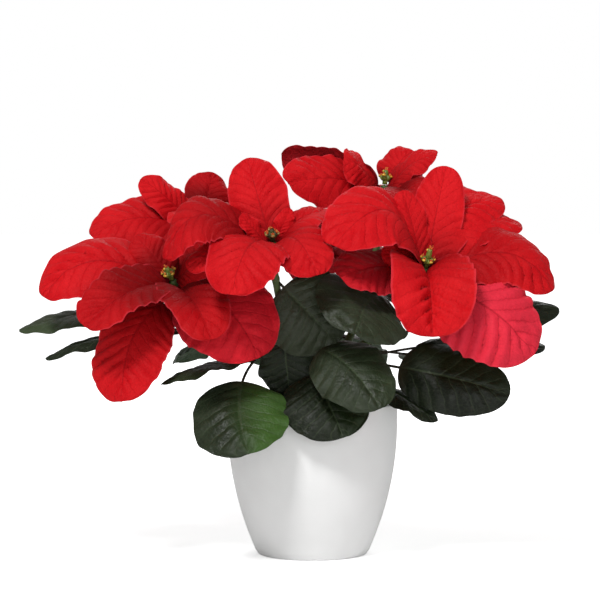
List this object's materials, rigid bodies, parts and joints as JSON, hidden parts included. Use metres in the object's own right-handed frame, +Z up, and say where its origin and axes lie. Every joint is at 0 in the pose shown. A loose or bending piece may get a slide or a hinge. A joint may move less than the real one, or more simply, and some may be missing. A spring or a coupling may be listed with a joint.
{
  "type": "potted poinsettia",
  "caption": "Red poinsettia with broad bracts round small green flowers, dark green leaves on thin stalks, growing in a plain white round pot with bellied sides.",
  "frame": {"origin": "centre of the pot's flat base, on the surface that it stands on", "axes": "+Z up, +X to the right and -Y towards the viewer of the picture"},
  "size_m": [0.493, 0.371, 0.3771],
  "materials": {
    "pot_white": "plain white, softly glossy",
    "potting_soil": "dark, loose, matte peat",
    "stem_bark": "matte, brown green",
    "leaf_green": "dark green, low sheen, sunken veins",
    "bract_red": "velvety red, quilted between the veins",
    "cyathium_green": "yellow green, waxy"
  },
  "bodies": {
    "root": {"pot": "pot_white", "soil": "potting_soil", "trunk": "stem_bark", "shoot_left": "leaf_green", "bracts_left": "bract_red", "cyathia_left": "cyathium_green", "shoot_centre": "leaf_green", "bracts_centre": "bract_red", "cyathia_centre": "cyathium_green", "shoot_right": "leaf_green", "bracts_right": "bract_red", "cyathia_right": "cyathium_green", "shoot_back_right": "leaf_green", "bracts_back_right": "bract_red", "cyathia_back_right": "cyathium_green", "shoot_back_left": "leaf_green", "bracts_back_left": "bract_red", "cyathia_back_left": "cyathium_green", "shoot_back": "leaf_green", "bracts_back": "bract_red", "cyathia_back": "cyathium_green"}
  },
  "joints": []
}
